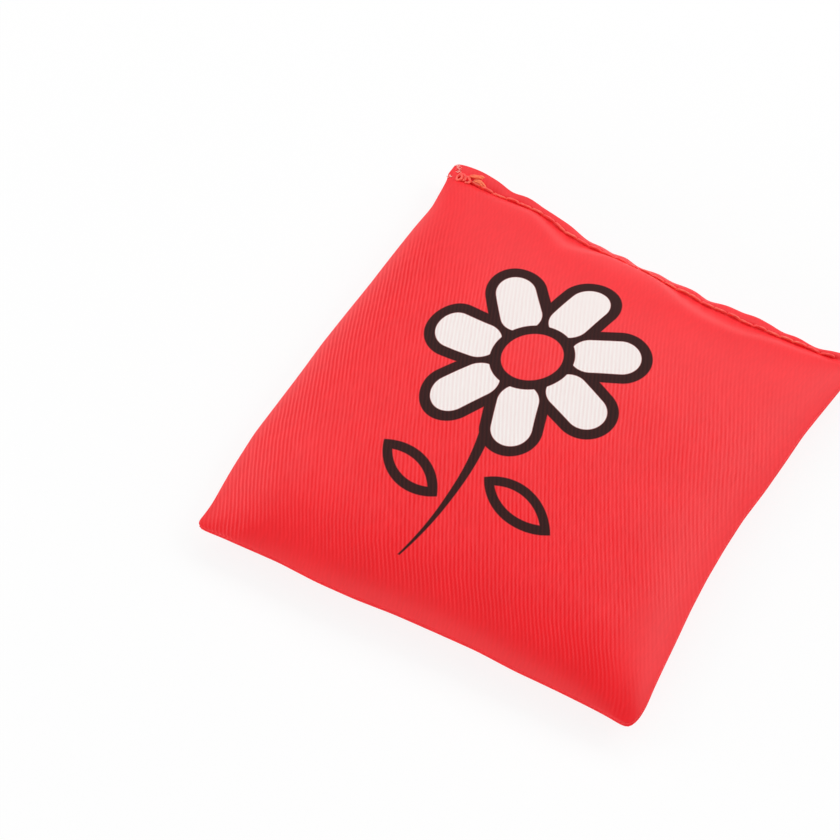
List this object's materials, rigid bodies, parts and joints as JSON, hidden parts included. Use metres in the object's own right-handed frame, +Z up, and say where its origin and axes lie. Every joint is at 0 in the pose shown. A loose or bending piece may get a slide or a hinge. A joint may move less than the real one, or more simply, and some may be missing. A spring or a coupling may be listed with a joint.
{
  "type": "toss bean bag",
  "caption": "Square pellet-filled toss bag: two twill panels sewn round three sides and turned, closed along the fourth by a flat topstitched flange.",
  "frame": {"origin": "on the surface the bag lies on, under the middle of its outline", "axes": "+Z up out of the printed front panel; +X along the topstitched closing edge; +Y from the opposite edge towards the closing edge"},
  "size_m": [0.0986, 0.0985, 0.0189],
  "materials": {
    "printed_twill": "red polyester twill with a printed design in black and white, soft sheen",
    "red_twill": "plain red polyester twill, soft sheen",
    "pellets": "loose off-white plastic pellets",
    "red_thread": "red spun polyester sewing thread",
    "orange_thread": "orange-red spun polyester sewing thread"
  },
  "bodies": {
    "root": {"front_panel": "printed_twill", "back_panel": "red_twill", "pellet_fill": "pellets", "closing_needle_thread": "red_thread", "closing_bobbin_thread": "red_thread", "closing_back_tack_thread": "orange_thread", "side_needle_thread": "red_thread", "side_bobbin_thread": "red_thread"}
  },
  "joints": []
}
